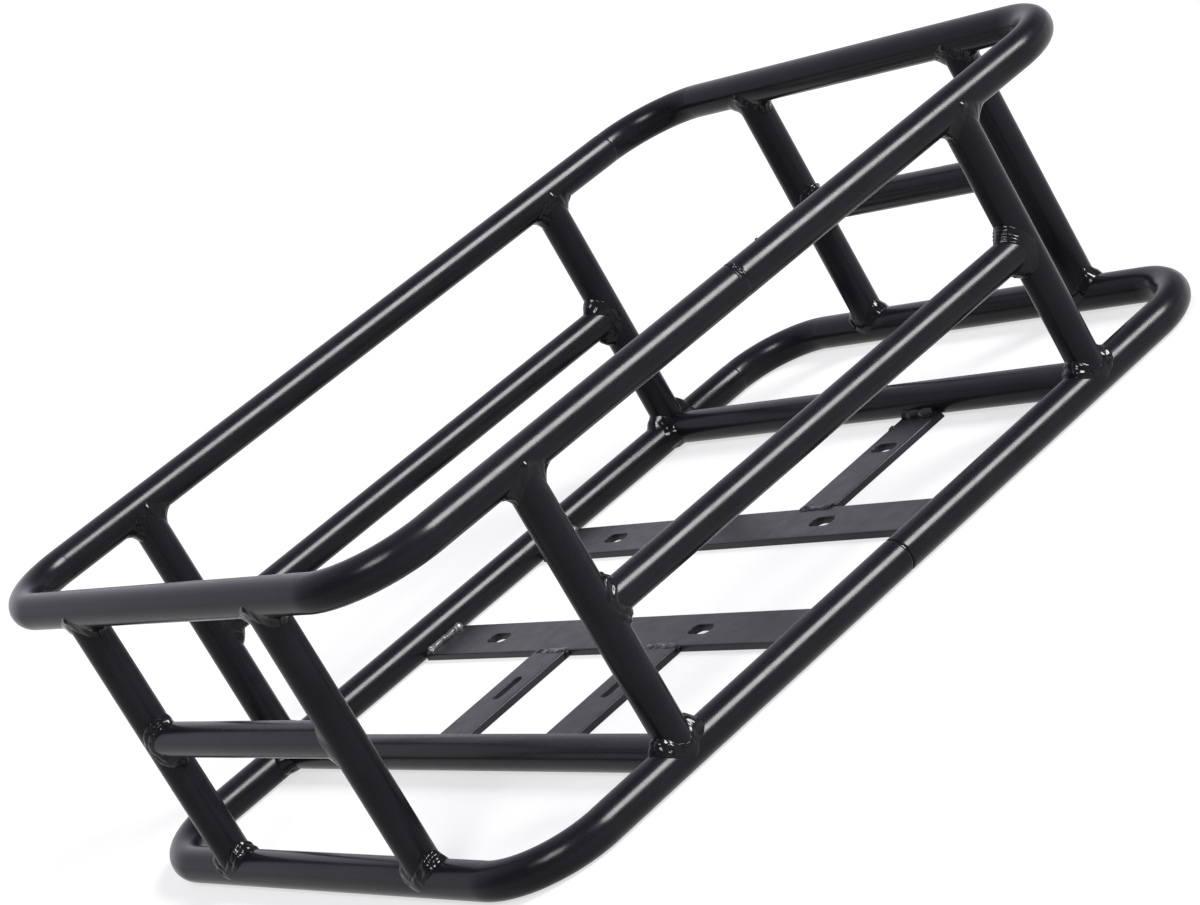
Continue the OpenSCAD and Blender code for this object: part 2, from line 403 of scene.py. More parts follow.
BEAD_CUTS = [k / 20 for k in range(21)]  # across a bead, from one surface to the other
BEAD_TURNS = 168  # sections round a joint
BEAD_STEPS = 90  # sections of a straight bead
WALK_STEPS = 12  # from a joint line to a bead's edge
LUMP_SIDES = 12
BEAD_SINK = 0.08 * MM  # how deep a bead's edges lie under the surfaces it joins
BEAD_ROOT = 0.9 * MM  # how deep its hidden back lies
SHOULDER = 0.35 * MM  # how softly a bead is flattened at the object's outline

# Scales of a bead's noise, per millimetre: of the blobs' spacing, of slow lumps, of a fine
# roughness and of the ridges' height, and of how one side of the bead outgrows the other.
DRIFT_SCALE, LUMP_SCALE, FINE_SCALE, RIDGE_SCALE = 0.17, 0.27, 0.9, 0.2
JOINT_SKEW_SCALE, STRAIGHT_SKEW_SCALE = 0.15, 0.16
DRIFT = 0.5  # of a blob's length
FINE = 0.025  # of the slow lumps' height
SKEW = 0.18  # of a leg
JOINT_LEG_SWING, STRAIGHT_LEG_SWING = 0.3, 0.35  # how much a leg grows with the relief
JOINT_FULLNESS, STRAIGHT_FULLNESS = 0.75, 0.85  # powers of a sine: less is a fuller section
BLOB_BOW = 0.35  # how far blobs lag behind at a bead's edges, in blobs
FLANK_RELIEF = 0.3  # how much of the relief is left at the flanks
STOP_ARC, STOP_PLACE, STOP_WIDTH = 0.16, 0.68, 0.2  # where a flank's lump is, along and across
TAPER_STEPS = 8  # sections over which a straight bead runs out

# each bead's seed lies this far from its neighbour's, so that no two are alike
SEED = 41
JOINT_SEED_STEP, END_SEED_STEP = 3.7, 1.9
STRAP_END_SEED_STEP, TUBE_STRAP_SEED_STEP, BUTT_SEED_STEP = 5.1, 6.3, 7.7


@dataclass
class BeadStyle:
    """How big a bead is, and how uneven. Round a tube's end, leg, hollow and crown hold in the
    corners between the tubes, and the flank sizes at the sides, where one tube runs over into
    the other."""
    leg: float
    crown: float
    blob: float  # height of the blobs
    blobs: int  # number of them along the bead
    uneven: float  # height of the slower lumps
    hollow: float = 0.0  # 0 is a flat face, 1 a full fillet
    flank_leg: float = 0.0
    flank_crown: float = 0.0
    stop: float = 0.0  # height of the lump at each flank, where the welder began and ended
    ridge: float = 0.0  # height of the ridges that run along the bead
    ridges: int = 0  # number of them, side by side


def blob_shape(q, count, seed):
    """Height at q of a closed row of round blobs, one for each step of q, each of its own size."""
    index = math.floor(q)
    part = q - index
    size = 0.60 + 1.25 * noise.noise((index % count * 3.17 + 0.5, seed, 0.5))
    return (4 * part * (1 - part)) ** 0.6 * min(max(size, 0.12), 1.25)


def bead_relief(point, q, seed, style):
    """How far a bead swells at a place: blobs, over slower uneven lumps."""
    place = point / MM
    q += DRIFT * noise.noise(place * DRIFT_SCALE + Vector((seed, 0, 0)))
    slow = noise.noise(place * LUMP_SCALE + Vector((0, seed, 0)))
    fine = noise.noise(place * FINE_SCALE + Vector((0, 0, seed)))
    blobs = style.blob * (blob_shape(q, style.blobs, seed) - 0.25)
    return blobs + style.uneven * (slow + FINE * fine)


def relative_relief(point, q, seed, style):
    """The relief as a part of the style's own height."""
    return bead_relief(point, q, seed, style) / (style.blob + style.uneven)


def skew_at(point, scale, seed):
    """How much further a bead reaches over one surface than over the other, as a part."""
    return SKEW * noise.noise(point / MM * scale + Vector((seed, 5, 9)))


def blob_bow(u):
    return BLOB_BOW * (2 * u - 1) ** 2


def ridge_relief(point, u, seed, style):
    """Ridges left by passes side by side, higher in some places than in others."""
    strength = 0.6 + 1.5 * noise.noise(point / MM * RIDGE_SCALE + Vector((3, seed, 8)))
    wave = 0.5 - 0.5 * math.cos(2 * math.pi * style.ridges * u)
    return style.ridge * max(strength, 0.1) * (wave - 0.4)


def walk_host(branch, turn, distance):
    """From the joint line, go out over the host's surface in the plane through the branch's axis
    and this turn. Gives the distance from the branch's axis and the height over the host's."""
    squeeze = math.cos(turn) ** 2
    out, height = branch.radius, branch.reach(turn, branch.radius)
    for _ in range(WALK_STEPS):
        run_out, run_height = height, -out * squeeze
        size = math.hypot(run_out, run_height)
        out += run_out / size * distance / WALK_STEPS
        height += run_height / size * distance / WALK_STEPS
        miss = out * out * squeeze + height * height - branch.host_radius ** 2
        slope_out, slope_height = 2 * out * squeeze, 2 * height
        slope = slope_out ** 2 + slope_height ** 2
        out -= slope_out * miss / slope
        height -= slope_height * miss / slope
    return out, height


def eased(value, limit):
    """The value, kept below a limit with a soft shoulder."""
    start = limit - SHOULDER
    if value < start:
        return value
    return limit - SHOULDER * math.exp((start - value) / SHOULDER)


def within(point, outline):
    """Keep a point of a bead inside the object's outline."""
    lo, hi = outline
    return Vector(-eased(-eased(c, most), -least) for c, least, most in zip(point, lo, hi))


def add_joint_bead(shell, branch, at_end, seed, style, outline):
    """The bead all round the end of a coped tube. Each of its sections lies in a plane through
    the tube's axis, so that neighbours never cross."""
    centre, way = (branch.end, -branch.way) if at_end else (branch.start, branch.way)
    loops = []
    for k, turn in enumerate(full_turn(BEAD_TURNS)):
        radial = branch.radial(turn)
        crotch = math.sin(turn) ** 2
        reach = branch.reach(turn, branch.radius)
        joint = centre + radial * branch.radius + way * reach
        q = style.blobs * k / BEAD_TURNS
        leg = style.flank_leg + (style.leg - style.flank_leg) * crotch
        crown = style.flank_crown + (style.crown - style.flank_crown) * crotch
        leg *= 1 + JOINT_LEG_SWING * relative_relief(joint, q, seed, style)
        skew = skew_at(joint, JOINT_SKEW_SCALE, seed)
        first = Vector((branch.radius, reach + leg * (1 + skew)))
        last = Vector(walk_host(branch, turn, leg * (1 - skew)))
        middle = ((first + last) / 2).lerp(Vector((branch.radius, reach)), style.hollow * crotch)
        chord = (last - first).normalized()
        outward = way * chord.x - radial * chord.y
        stop = style.stop * bell(math.sin(turn) / STOP_ARC)
        section = []
        for u in BEAD_CUTS:
            rho, height = first * (1 - u) ** 2 + middle * 2 * u * (1 - u) + last * u ** 2
            place = centre + radial * rho + way * height
            relief = bead_relief(place, q + blob_bow(u), seed, style)
            relief += ridge_relief(place, u, seed, style)
            relief *= FLANK_RELIEF + (1 - FLANK_RELIEF) * smooth(1.7 * crotch)
            relief += crown + stop * bell((u - STOP_PLACE) / STOP_WIDTH)
            swell = math.sin(math.pi * u) ** JOINT_FULLNESS * relief - BEAD_SINK
            section.append(within(place + outward * swell, outline))
        section.append(joint - outward * BEAD_ROOT)
        loops.append(shell.loop(section))
    shell.skin(loops, wrapped=True)


def onto_level(z):
    """A function that presses a point onto a level face."""
    return lambda point: Vector((point.x, point.y, z))


def onto_tube(centre, way, radius):
    """A function that presses a point onto a tube through centre along way."""
    def press(point):
        foot = centre + way * (point - centre).dot(way)
        return foot + (point - foot).normalized() * radius
    return press


def add_straight_bead(shell, middle, way, length, normals, presses, seed, style):
    """A fillet bead with tapered ends along a straight joint line between two surfaces, which
    are given by their outward normals and by functions that press a point onto them."""
    one, two = normals
    out = (one + two).normalized()
    along_one = one.cross(way).normalized()
    along_one *= math.copysign(1, along_one.dot(two))
    along_two = two.cross(way).normalized()
    along_two *= math.copysign(1, along_two.dot(one))
    loops = []
    for k in range(BEAD_STEPS + 1):
        point = middle + way * ((k / BEAD_STEPS - 0.5) * length)
        q = style.blobs * k / BEAD_STEPS
        fade = smooth(min(k, BEAD_STEPS - k) / TAPER_STEPS + 0.1)
        leg = style.leg * fade * (1 + STRAIGHT_LEG_SWING * relative_relief(point, q, seed, style))
        skew = skew_at(point, STRAIGHT_SKEW_SCALE, seed)
        first = presses[0](point + along_one * leg * (1 + skew))
        last = presses[1](point + along_two * leg * (1 - skew))
        section = []
        for u in BEAD_CUTS:
            place = first.lerp(last, u)
            relief = style.crown + bead_relief(place, q + blob_bow(u), seed, style)
            swell = math.sin(math.pi * u) ** STRAIGHT_FULLNESS * fade * relief - BEAD_SINK
            section.append(place + out * swell)
        section.append(point - out * BEAD_ROOT)
        loops.append(shell.loop(section))
    shell.closed_skin(loops)


def add_lump(shell, place, normal, size, seed):
    """A grain of spatter, or the lump where a bead stops: low and round, sunk into the steel."""
    side = normal.orthogonal().normalized()
    other = normal.cross(side)
    loops = []
    for latitude in (75, 55, 30, 5, -30, -60):
        a = math.radians(latitude)
        loop = []
        for b in full_turn(LUMP_SIDES):
            wobble = 1 + 0.14 * noise.noise((math.cos(b) * 1.3 + seed, math.sin(b) * 1.3, a))
            across = (side * math.cos(b) + other * math.sin(b)) * math.cos(a) * wobble
            loop.append(place + (across + normal * (math.sin(a) * 0.7 + 0.2)) * size)
        loops.append(shell.loop(loop))
    shell.closed_skin(loops)


BEAD_STYLES = {
    "welds_posts_top": BeadStyle(
        leg=5.8 * MM, hollow=0.55, crown=0.0, blob=0.30 * MM, blobs=15, uneven=0.40 * MM,
        flank_leg=3.2 * MM, flank_crown=0.45 * MM, stop=0.8 * MM),
    "welds_posts_bottom": BeadStyle(
        leg=5.0 * MM, hollow=0.1, crown=0.35 * MM, blob=0.90 * MM, blobs=11, uneven=0.60 * MM,
        flank_leg=3.2 * MM, flank_crown=0.65 * MM, ridge=0.6 * MM, ridges=2),
    "welds_side_rails": BeadStyle(
        leg=4.8 * MM, hollow=0.1, crown=0.35 * MM, blob=0.60 * MM, blobs=14, uneven=0.60 * MM,
        flank_leg=3.4 * MM, flank_crown=0.55 * MM, ridge=1.0 * MM, ridges=2),
    "welds_cross_tubes": BeadStyle(
        leg=4.6 * MM, hollow=0.25, crown=0.15 * MM, blob=0.55 * MM, blobs=12, uneven=0.50 * MM,
        flank_leg=3.0 * MM, flank_crown=0.40 * MM),
}
# smoother joints: the posts' feet at the left and the rear, and the left rail's ends
CALM_POST = BeadStyle(
    leg=5.0 * MM, hollow=0.25, crown=0.35 * MM, blob=0.22 * MM, blobs=12, uneven=0.50 * MM,
    flank_leg=2.7 * MM, flank_crown=0.40 * MM, ridge=0.2 * MM, ridges=1)
CALM_RAIL = BeadStyle(
    leg=5.0 * MM, hollow=0.1, crown=0.55 * MM, blob=0.30 * MM, blobs=7, uneven=0.40 * MM,
    flank_leg=3.4 * MM, flank_crown=0.50 * MM, ridge=0.3 * MM, ridges=1)
# the other rails' far ends
RIPPLED = BeadStyle(
    leg=5.2 * MM, hollow=0.2, crown=0.25 * MM, blob=0.15 * MM, blobs=20, uneven=0.40 * MM,
    flank_leg=3.8 * MM, flank_crown=0.45 * MM, ridge=0.55 * MM, ridges=5)
# straps: cross straps on the ring, lengthwise ones on a cross tube, and against a cross strap
STRAP_END_BEAD = BeadStyle(
    leg=2.9 * MM, crown=0.7 * MM, blob=1.0 * MM, blobs=5, uneven=0.9 * MM)
TUBE_STRAP_BEAD = BeadStyle(
    leg=4.0 * MM, crown=0.6 * MM, blob=0.3 * MM, blobs=2, uneven=0.2 * MM)
REAR_BUTT_BEAD = BeadStyle(
    leg=2.9 * MM, crown=0.75 * MM, blob=0.15 * MM, blobs=3, uneven=0.60 * MM)
FRONT_BUTT_BEAD = BeadStyle(
    leg=2.4 * MM, crown=0.35 * MM, blob=0.20 * MM, blobs=2, uneven=0.30 * MM)
BUTT_TILT = 0.25  # slope of the two halves of a bead that lies on a flat face

SPATTER_Y = 18 * MM  # a grain on the top ring's right-hand side
SPATTER_LEAN = math.radians(31)  # from straight up, towards the inside
SPATTER_SIZE = 0.85 * MM
END_LUMP = 2.9 * MM  # where the weld of a cross strap's end began
END_LUMP_RISE = 0.6 * MM
CORNER_LUMP = 1.7 * MM  # where the weld of a lengthwise strap ends
CORNER_LUMP_SHIFT = 0.5 * MM
EDGE_LUMP = 2.2 * MM  # one more, run down over a strap's edge
EDGE_LUMP_PLACE = 0.65  # of the way from the rear slot to the cross tube


def joint_style(group, node, at_end):
    """The joints of a group are alike, but for a few that are smoother."""
    if group == "welds_posts_bottom" and node.startswith(("post_left", "post_rear")):
        return CALM_POST
    if node == "side_rail_left":
        return CALM_RAIL
    if group == "welds_side_rails" and at_end:
        return RIPPLED
    return BEAD_STYLES[group]


# ==================== straps ====================

STRAP_TUCK = 0.1 * MM  # how far a strap's cut end reaches into the tube it is welded to
WIDTH_CUTS = 24  # cells across a strap
SLOT_CUTS = 20  # and along the stretch that holds a slot
SLOT_MARGIN = 3 * MM  # by which that stretch is longer than its slot at each end
SLOT_LOOPS = (0.35, 0.65, 0.85)  # places of loops from its border (0) to the slot's rim (1)
ARC_CUTS = 5  # facets of a rounded edge


class Slot:
    """A slot with round ends on a strap's middle line, at u, lying along the strap or across."""

    def __init__(self, u, length, width, lengthwise):
        self.u = u
        self.radius = width / 2
        self.half = (length - width) / 2  # from its centre to the centre of a round end
        self.lengthwise = lengthwise

    def turned(self, pair):
        """From the strap's (along, across) to the slot's own, or back."""
        return pair if self.lengthwise else (pair[1], pair[0])

    def rim(self, direction):
        """Where a ray from the slot's centre meets its rim, and the inward normal there. The rim
        lies SLOT_EDGE outside the slot's walls, where their edge begins to round over."""
        along, across = self.turned(direction)
        r = self.radius + SLOT_EDGE
        t = r / abs(across) if abs(across) > HAIR else 1 / HAIR
        if abs(t * along) > self.half:
            centre = math.copysign(self.half, along)
            t = along * centre + math.sqrt(max((along * centre) ** 2 - centre ** 2 + r ** 2, 0))
        along, across = along * t, across * t
        if abs(along) <= self.half:
            inward = 0.0, -math.copysign(1, across)
        else:
            past = along - math.copysign(self.half, along)
            size = math.hypot(past, across)
            inward = -past / size, -across / size
        return self.turned((along, across)), self.turned(inward)


@dataclass
class Host:
    """The tube that an end of a strap is cut to fit: how far from the middle its axis lies, the
    axis's height, and the tube's radius."""
    u: float
    z: float
    radius: float


class Face:
    """One flat face of a strap: where along the strap the points of its long edges lie, their
    numbers, the loops of points round its slots, and the rows of points at its ends."""

    def __init__(self):
        self.us, self.low, self.high = [], [], []
        self.rims = []
        self.ends = []

    def add_edges(self, us, low, high):
        self.us += us
        self.low += low
        self.high += high


def edge_profile(radius, thickness):
    """(sideways, z) from the top face over a rounded edge, down the side and round below."""
    angles = [math.pi / 2 * k / ARC_CUTS for k in range(1, ARC_CUTS + 1)]
    arc = [(radius * math.sin(a), radius * (1 - math.cos(a))) for a in angles]
    return [(out, thickness - drop) for out, drop in arc] + arc[::-1]


class Strap:
    """A flat bar with rounded edges and slots, built in (u, v, z): u along it, v across it.

    It runs along X or along Y, and fits a host at its start, its end or both."""

    def __init__(self, box, along_x, slots, host, fits_start, fits_end):
        lo, hi = box
        size = hi - lo
        self.along_x = along_x
        self.start, self.end = (lo.x, hi.x) if along_x else (lo.y, hi.y)
        self.middle = (lo.y + hi.y) / 2 if along_x else (lo.x + hi.x) / 2
        half_width = (size.y if along_x else size.x) / 2
        self.thickness = size.z
        self.slots = sorted(slots, key=lambda slot: slot.u)
        self.host, self.fits_start, self.fits_end = host, fits_start, fits_end
        self.edge_v = half_width - STRAP_EDGE
        self.vs = [self.edge_v * (2 * k / WIDTH_CUTS - 1) for k in range(WIDTH_CUTS + 1)]
        reaches = [slot.half + slot.radius for slot in slots if slot.lengthwise]
        self.slot_reach = max(reaches + [half_width * 0.8]) + SLOT_MARGIN
        self.shell = Shell()

    def fitted(self, z):
        """How far from the middle an end lies at a height, where it fits its host."""
        face_of_host = self.host.u - chord_half(self.host.radius, self.host.z - z)
        return min(face_of_host + STRAP_TUCK, max(-self.start, self.end))

    def put(self, u, v, z):
        """A point in its place, moved onto the host if it is at an end that fits one."""
        if self.fits_start and abs(u - self.start) < HAIR:
            u = -self.fitted(z)
        if self.fits_end and abs(u - self.end) < HAIR:
            u = self.fitted(z)
        return Vector((u, self.middle + v, z)) if self.along_x else Vector((self.middle + v, u, z))

    def row(self, u, z):
        return self.shell.loop(self.put(u, v, z) for v in self.vs)

    def add_plain(self, face, row, u0, u1, z):
        """Go on from a row of points at u0, without a slot, and give the last row."""
        count = max(1, round((u1 - u0) / PLAIN_STEP))
        rows = [row]
        for k in range(1, count + 1):
            u = u0 + (u1 - u0) * k / count
            rows.append(self.row(u, z))
            face.add_edges([u], rows[-1][:1], rows[-1][-1:])
        self.shell.skin(rows, closed=False)
        return rows[-1]

    def slot_border(self, slot):
        """The (u, v) points round the stretch that holds a slot, and the slot's rim for each."""
        u0, u1 = slot.u - self.slot_reach, slot.u + self.slot_reach
        us = [u0 + (u1 - u0) * k / SLOT_CUTS for k in range(1, SLOT_CUTS)]
        border = [(u0, v) for v in self.vs[::-1]] + [(u, self.vs[0]) for u in us]
        border += [(u1, v) for v in self.vs] + [(u, self.vs[-1]) for u in us[::-1]]
        rims = []
        for u, v in border:
            distance = math.hypot(u - slot.u, v)
            rims.append(slot.rim(((u - slot.u) / distance, v / distance)))
        return us, border, rims

    def add_slotted(self, face, row, slot, z):
        """Go on from a row of points, round a slot, and give the last row."""
        us, border, rims = self.slot_border(slot)
        end_u = slot.u + self.slot_reach
        far = self.row(end_u, z)
        low = self.shell.loop(self.put(u, self.vs[0], z) for u in us)
        high = self.shell.loop(self.put(u, self.vs[-1], z) for u in us)
        loops = [row[::-1] + low + far + high[::-1]]
        for t in (*SLOT_LOOPS, 1):
            loops.append(self.shell.loop(
                self.put(u + (slot.u + rim[0] - u) * t, v + (rim[1] - v) * t, z)
                for (u, v), (rim, _) in zip(border, rims)))
        self.shell.skin(loops)
        face.rims.append(loops[-1])
        face.add_edges(us + [end_u], low + far[:1], high + far[-1:])
        return far

    def flat_face(self, z):
        face = Face()
        row = self.row(self.start, z)
        face.add_edges([self.start], row[:1], row[-1:])
        face.ends.append(row)
        u = self.start
        for slot in self.slots:
            row = self.add_plain(face, row, u, slot.u - self.slot_reach, z)
            row = self.add_slotted(face, row, slot, z)
            u = slot.u + self.slot_reach
        face.ends.append(self.add_plain(face, row, u, self.end, z))
        return face

    def add_sides(self, top, bottom):
        """The long sides with their rounded edges, and the two ends."""
        sides = []
        for sign, upper, lower in ((-1, top.low, bottom.low), (1, top.high, bottom.high)):
            between = []
            for out, z in edge_profile(STRAP_EDGE, self.thickness):
                v = sign * (self.edge_v + out)
                between.append(self.shell.loop(self.put(u, v, z) for u in top.us))
            self.shell.skin([upper, *between, lower], closed=False)
            sides.append(between)
        for index in (0, -1):
            low_side, high_side = ([row[index] for row in rows] for rows in sides)
            self.shell.cap(
                top.ends[index] + high_side + bottom.ends[index][::-1] + low_side[::-1])

    def add_slot_walls(self, slot, upper, lower):
        _, _, rims = self.slot_border(slot)
        between = []
        for out, z in edge_profile(SLOT_EDGE, self.thickness):
            between.append(self.shell.loop(
                self.put(slot.u + rim[0] + inward[0] * out, rim[1] + inward[1] * out, z)
                for rim, inward in rims))
        self.shell.skin([upper, *between, lower])

    def piece(self, node, material):
        top, bottom = self.flat_face(self.thickness), self.flat_face(0.0)
        self.add_sides(top, bottom)
        for slot, upper, lower in zip(self.slots, top.rims, bottom.rims):
            self.add_slot_walls(slot, upper, lower)
        self.shell.piece(node, "floor_strap", material, crease=40)


# ==================== materials ====================

TUBE_BLACK = (0.0038, 0.0036, 0.0050)
STRAP_BLACK = (0.0084, 0.0081, 0.0102)
WELD_BLACK = (0.0034, 0.0032, 0.0042)
# the pale grey base of the cross straps' end welds is painted sheen: it stands in for the glossy
# reflection on their lumps
SHEEN_PAINTED_GREY = (0.030, 0.030, 0.032)

# how fine each layer of the coat is, per metre, and its octaves
TONE_SPECKS = 1900, 1
TONE_DRIFT = 45, 4
GLOSS_DRIFT = 160, 3
ORANGE_PEEL = 700, 2
GRAIN = 3200, 2
PEEL_DEPTH, WELD_PEEL_DEPTH = 0.006 * MM, 0.003 * MM
GRAIN_DEPTH, STRAP_GRAIN_DEPTH, WELD_GRAIN_DEPTH = 0.0003 * MM, 0.0006 * MM, 0.0002 * MM
TONE_SPREAD = 0.25  # how far the tone strays from the coat's colour, as a part of it
FLOOR_SPREAD = 0.02
GLOSS_SPREAD = 0.9, 1.12  # least and most roughness, as parts of the coat's own
NOISE_RANGE = 0.3, 0.7  # the part of a noise's range that is put to use
SPECK_WEIGHT = 1.3  # of the specks, against 1 for the drift


def add_node(nodes, kind, values=(), **settings):
    """A new node with its settings, and values for its inputs as (name or number, value)."""
    node = nodes.new("ShaderNode" + kind)
    for name, value in settings.items():
        setattr(node, name, value)
    for key, value in values:
        node.inputs[key].default_value = value
    return node


def add_ramp(nodes, places, colours):
    """A blend from one colour to another between two places."""
    ramp = add_node(nodes, "ValToRGB")
    for element, place, colour in zip(ramp.color_ramp.elements, places, colours):
        element.position = place
        element.color = (*colour, 1)
    return ramp


def darker_lighter(colour, spread):
    return [[c * (1 + sign * spread) for c in colour] for sign in (-1, 1)]


def new_material(name):
    material = bpy.data.materials.new(name)
    material.use_nodes = True
    tree = material.node_tree
    return material, tree.nodes, tree.links, tree.nodes["Principled BSDF"]


def powder_coat(name, colour, roughness, specular, peel_depth=PEEL_DEPTH, grain_depth=GRAIN_DEPTH):
    """Satin black powder coat: a faint drift of tone and gloss, orange peel, and fine grain."""
    material, nodes, links, shader = new_material(name)
    shader.inputs["Specular IOR Level"].default_value = specular
    where = add_node(nodes, "TexCoord").outputs["Object"]

    def cloud(layer):
        scale, detail = layer
        node = add_node(nodes, "TexNoise", [("Scale", scale), ("Detail", detail)])
        links.new(where, node.inputs["Vector"])
        return node.outputs["Fac"]

    tone = add_ramp(nodes, NOISE_RANGE, darker_lighter(colour, TONE_SPREAD))
    specks = add_node(nodes, "Math", [(1, SPECK_WEIGHT)], operation="MULTIPLY_ADD")
    links.new(cloud(TONE_SPECKS), specks.inputs[0])
    drift = add_node(nodes, "Math", [(1, SPECK_WEIGHT / 2)], operation="SUBTRACT")
    links.new(cloud(TONE_DRIFT), drift.inputs[0])
    links.new(drift.outputs["Value"], specks.inputs[2])
    links.new(specks.outputs["Value"], tone.inputs["Fac"])
    links.new(tone.outputs["Color"], shader.inputs["Base Color"])

    low, high = NOISE_RANGE
    least, most = (roughness * part for part in GLOSS_SPREAD)
    gloss = add_node(
        nodes, "MapRange", [("From Min", low), ("From Max", high), ("To Min", least), ("To Max", most)])
    links.new(cloud(GLOSS_DRIFT), gloss.inputs["Value"])
    links.new(gloss.outputs["Result"], shader.inputs["Roughness"])

    peel = add_node(nodes, "Bump", [("Distance", peel_depth)])
    links.new(cloud(ORANGE_PEEL), peel.inputs["Height"])
    grain = add_node(nodes, "Bump", [("Distance", grain_depth)])
    links.new(cloud(GRAIN), grain.inputs["Height"])
    links.new(peel.outputs["Normal"], grain.inputs["Normal"])
    links.new(grain.outputs["Normal"], shader.inputs["Normal"])
    return material


def pale_floor(name):
    """A pale sheet that glows by itself, with a barely visible drift of tone."""
    material, nodes, links, shader = new_material(name)
    shader.inputs["Roughness"].default_value = 0.9
    shader.inputs["Specular IOR Level"].default_value = 0.1
    shader.inputs["Emission Color"].default_value = (*FLOOR_GLOW_COLOUR, 1)
    shader.inputs["Emission Strength"].default_value = FLOOR_GLOW
    cloud = add_node(nodes, "TexNoise", [("Scale", 3)])
    tone = add_ramp(nodes, (0, 1), darker_lighter(FLOOR_TONE, FLOOR_SPREAD))
    links.new(cloud.outputs["Fac"], tone.inputs["Fac"])
    links.new(tone.outputs["Color"], shader.inputs["Base Color"])
    return material


# ==================== studio ====================

def make_camera():
    data = bpy.data.cameras.new("camera")
    data.lens = CAMERA_LENS
    data.sensor_width = CAMERA_SENSOR
    data.clip_start, data.clip_end = 0.05, 200
    camera = bpy.data.objects.new("camera", data)
    bpy.context.scene.collection.objects.link(camera)
    a, e = math.radians(CAMERA_AZIMUTH), math.radians(CAMERA_ELEVATION)
    back = Vector((math.sin(a) * math.cos(e), -math.cos(a) * math.cos(e), math.sin(e)))
    camera.location = CAMERA_AIM + back * CAMERA_DISTANCE
    camera.rotation_mode = "QUATERNION"
    level = (-back).to_track_quat("-Z", "Y")
    camera.rotation_quaternion = level @ Quaternion((0, 0, 1), math.radians(-CAMERA_ROLL))
    bpy.context.scene.camera = camera


def make_floor():
    mesh = bpy.data.meshes.new("floor")
    corners = [(x * FLOOR_REACH, y * FLOOR_REACH, 0) for x, y in ((-1, -1), (1, -1), (1, 1), (-1, 1))]
    mesh.from_pydata(corners, [], [(0, 1, 2, 3)])
    mesh.materials.append(pale_floor("pale floor"))
    floor = bpy.data.objects.new("floor", mesh)
    floor.location.z = -FLOOR_DROP
    bpy.context.scene.collection.objects.link(floor)


def make_lamp(name, direction, degrees, strength):
    """A far, wide lamp, which lights the object from a direction."""
    data = bpy.data.lights.new(name, "SUN")
    data.energy = strength
    data.angle = math.radians(degrees)
    lamp = bpy.data.objects.new(name, data)
    lamp.rotation_mode = "QUATERNION"
    lamp.rotation_quaternion = (-direction).to_track_quat("-Z", "Y")
    bpy.context.scene.collection.objects.link(lamp)


def make_world():
    """A studio in grey: bright near the horizon, dark overhead, and a soft fill to one side."""
    world = bpy.data.worlds.new("studio")
    world.use_nodes = True
    nodes, links = world.node_tree.nodes, world.node_tree.links
    ground = nodes["Background"]
    where = add_node(nodes, "TexCoord").outputs["Generated"]
    split = add_node(nodes, "SeparateXYZ")
    links.new(where, split.inputs["Vector"])
    levels = [SKY_TINT * level for level in (HORIZON_LEVEL, ZENITH_LEVEL)]
    rise = add_ramp(nodes, (HORIZON_TOP, ZENITH_EDGE), levels)
    rise.color_ramp.interpolation = "EASE"
    links.new(split.outputs["Z"], rise.inputs["Fac"])
    towards = add_node(
        nodes, "VectorMath", [(1, FILL_DIRECTION.normalized())], operation="DOT_PRODUCT")
    links.new(where, towards.inputs[0])
    lobe = add_node(
        nodes, "MapRange", [("From Min", FILL_EDGE), ("From Max", FILL_CORE), ("To Max", FILL_LEVEL)],
        interpolation_type="SMOOTHSTEP")
    links.new(towards.outputs["Value"], lobe.inputs["Value"])
    tint = add_node(nodes, "VectorMath", [(0, SKY_TINT)], operation="SCALE")
    links.new(lobe.outputs["Result"], tint.inputs["Scale"])
    total = add_node(nodes, "VectorMath", operation="ADD")
    links.new(rise.outputs["Color"], total.inputs[0])
    links.new(tint.outputs["Vector"], total.inputs[1])
    links.new(total.outputs["Vector"], ground.inputs["Color"])
    bpy.context.scene.world = world
    bpy.context.scene.view_settings.view_transform = "Standard"


# ==================== the basket ====================

def box_middle(node):
    lo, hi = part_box(node)
    return (lo + hi) / 2


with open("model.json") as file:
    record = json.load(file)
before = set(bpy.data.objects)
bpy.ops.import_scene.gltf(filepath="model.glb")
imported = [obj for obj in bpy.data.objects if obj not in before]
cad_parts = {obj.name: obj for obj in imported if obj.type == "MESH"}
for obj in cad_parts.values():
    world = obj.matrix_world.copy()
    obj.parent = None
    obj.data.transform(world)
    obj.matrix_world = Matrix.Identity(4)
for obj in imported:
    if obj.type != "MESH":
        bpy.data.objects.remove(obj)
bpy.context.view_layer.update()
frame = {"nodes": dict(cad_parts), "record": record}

make_camera()
make_world()
make_lamp("key lamp", KEY_DIRECTION, KEY_DEGREES, KEY_STRENGTH)
make_lamp("front lamp", FRONT_DIRECTION, FRONT_DEGREES, FRONT_STRENGTH)
make_floor()

ring_coat = powder_coat("ring tube coat", TUBE_BLACK, 0.24, 0.10)
tube_coat = powder_coat("frame tube coat", TUBE_BLACK, 0.25, 0.10)
strap_coat = powder_coat(
    "floor strap coat", STRAP_BLACK, 0.36, 0.18, grain_depth=STRAP_GRAIN_DEPTH)
weld_coat = powder_coat(
    "weld coat", WELD_BLACK, 0.15, 0.15, WELD_PEEL_DEPTH, WELD_GRAIN_DEPTH)
# the cross straps' end welds get a pale base colour as painted sheen, on top of their real higher gloss
sheen_painted_weld_coat = powder_coat(
    "strap end weld coat", SHEEN_PAINTED_GREY, 0.34, 0.55, WELD_PEEL_DEPTH, WELD_GRAIN_DEPTH)

